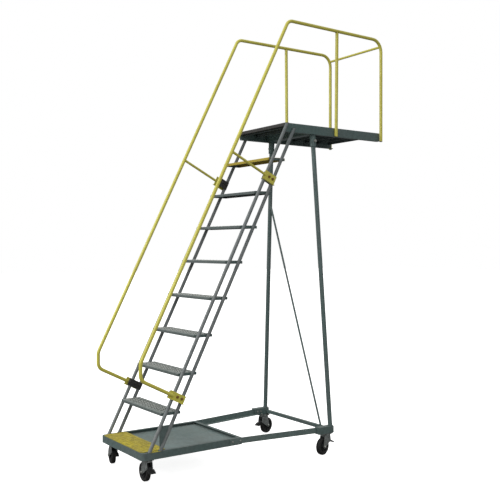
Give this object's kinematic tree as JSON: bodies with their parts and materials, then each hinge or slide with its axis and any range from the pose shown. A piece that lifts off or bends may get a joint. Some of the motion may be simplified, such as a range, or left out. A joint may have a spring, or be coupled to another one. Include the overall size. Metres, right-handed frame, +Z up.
{
  "type": "rolling warehouse ladder",
  "caption": "Cantilever rolling ladder: open treads between twin tube stringers, overhanging guarded platform, splayed rear legs and braked swivel casters.",
  "frame": {"origin": "middle of the bounding box footprint, on the floor under the wheels", "axes": "+X to the climber's right, +Y the climbing direction, +Z up"},
  "size_m": [0.876, 2.2308, 3.2734],
  "materials": {
    "grey_paint": "worn dark slate grey enamel",
    "grey_tread": "scuffed grey enamel",
    "yellow_paint": "satin olive yellow enamel",
    "yellow_tread": "scuffed safety yellow enamel",
    "zinc": "dulled zinc plate",
    "pedal": "black coated steel",
    "tyre": "matt black rubber"
  },
  "bodies": {
    "frame": {"base_front_frame": "grey_paint", "counterweight_plate": "grey_tread", "bottom_tread": "yellow_tread", "base_side_rail_left": "grey_paint", "base_side_rail_right": "grey_paint", "base_rear_corner_left": "grey_paint", "base_rear_corner_right": "grey_paint", "base_rear_cross_rail": "grey_paint", "stringer_front_left": "grey_paint", "stringer_front_right": "grey_paint", "stringer_rear_left": "grey_paint", "stringer_rear_right": "grey_paint", "tread_2": "grey_tread", "tread_3": "grey_tread", "tread_4": "grey_tread", "tread_5": "grey_tread", "tread_6": "grey_tread", "tread_7": "grey_tread", "tread_8": "grey_tread", "tread_9": "yellow_tread", "platform_deck": "grey_paint", "platform_side_left": "grey_paint", "platform_side_right": "grey_paint", "platform_beam": "grey_paint", "rear_leg_left": "grey_paint", "rear_leg_right": "grey_paint", "leg_socket_left": "grey_paint", "leg_socket_right": "grey_paint", "leg_brace": "grey_paint", "handrail_left": "yellow_paint", "handrail_right": "yellow_paint", "mid_post_left": "yellow_paint", "mid_post_right": "yellow_paint", "upper_strut_left": "yellow_paint", "upper_strut_right": "yellow_paint", "clamp_plate_lower_left": "grey_paint", "clamp_plate_lower_right": "grey_paint", "clamp_plate_upper_left": "grey_paint", "clamp_plate_upper_right": "grey_paint", "back_rail": "yellow_paint", "caster_plate_front_left": "zinc", "caster_plate_front_right": "zinc", "caster_plate_rear_left": "zinc", "caster_plate_rear_right": "zinc"},
    "fork_front_left": {"caster_fork_front_left": "zinc", "caster_axle_front_left": "zinc"},
    "wheel_front_left": {"caster_wheel_front_left": "tyre"},
    "pedal_front_left": {"brake_pedal_front_left": "pedal"},
    "fork_front_right": {"caster_fork_front_right": "zinc", "caster_axle_front_right": "zinc"},
    "wheel_front_right": {"caster_wheel_front_right": "tyre"},
    "pedal_front_right": {"brake_pedal_front_right": "pedal"},
    "fork_rear_left": {"caster_fork_rear_left": "zinc", "caster_axle_rear_left": "zinc"},
    "wheel_rear_left": {"caster_wheel_rear_left": "tyre"},
    "pedal_rear_left": {"brake_pedal_rear_left": "pedal"},
    "fork_rear_right": {"caster_fork_rear_right": "zinc", "caster_axle_rear_right": "zinc"},
    "wheel_rear_right": {"caster_wheel_rear_right": "tyre"},
    "pedal_rear_right": {"brake_pedal_rear_right": "pedal"}
  },
  "joints": [
    {"name": "swivel_front_left", "type": "hinge", "parent": "frame", "child": "fork_front_left", "pos_m": [-0.262, -1.018, 0.158], "axis": [0, 0, 1], "continuous": true},
    {"name": "wheel_spin_front_left", "type": "hinge", "parent": "fork_front_left", "child": "wheel_front_left", "pos_m": [-0.29721, -1.01052, 0.065], "axis": [0.2079, 0.9781, 0], "continuous": true},
    {"name": "brake_front_left", "type": "hinge", "parent": "fork_front_left", "child": "pedal_front_left", "pos_m": [-0.22972, -1.02486, 0.103], "axis": [0.2079, 0.9781, 0], "range_deg": [0, 10]},
    {"name": "swivel_front_right", "type": "hinge", "parent": "frame", "child": "fork_front_right", "pos_m": [0.262, -1.018, 0.158], "axis": [0, 0, 1], "continuous": true},
    {"name": "wheel_spin_front_right", "type": "hinge", "parent": "fork_front_right", "child": "wheel_front_right", "pos_m": [0.22602, -1.01674, 0.065], "axis": [0.0349, 0.9994, 0], "continuous": true},
    {"name": "brake_front_right", "type": "hinge", "parent": "fork_front_right", "child": "pedal_front_right", "pos_m": [0.29498, -1.01915, 0.103], "axis": [0.0349, 0.9994, 0], "range_deg": [0, 10]},
    {"name": "swivel_rear_left", "type": "hinge", "parent": "frame", "child": "fork_rear_left", "pos_m": [-0.398, 0.43, 0.158], "axis": [0, 0, 1], "continuous": true},
    {"name": "wheel_spin_rear_left", "type": "hinge", "parent": "fork_rear_left", "child": "wheel_rear_left", "pos_m": [-0.4061, 0.46508, 0.065], "axis": [0.9744, 0.225, 0], "continuous": true},
    {"name": "brake_rear_left", "type": "hinge", "parent": "fork_rear_left", "child": "pedal_rear_left", "pos_m": [-0.39058, 0.39785, 0.103], "axis": [0.9744, 0.225, 0], "range_deg": [0, 10]},
    {"name": "swivel_rear_right", "type": "hinge", "parent": "frame", "child": "fork_rear_right", "pos_m": [0.398, 0.43, 0.158], "axis": [0, 0, 1], "continuous": true},
    {"name": "wheel_spin_rear_right", "type": "hinge", "parent": "fork_rear_right", "child": "wheel_rear_right", "pos_m": [0.4061, 0.39492, 0.065], "axis": [-0.9744, -0.225, 0], "continuous": true},
    {"name": "brake_rear_right", "type": "hinge", "parent": "fork_rear_right", "child": "pedal_rear_right", "pos_m": [0.39058, 0.46215, 0.103], "axis": [-0.9744, -0.225, 0], "range_deg": [0, 10]}
  ]
}
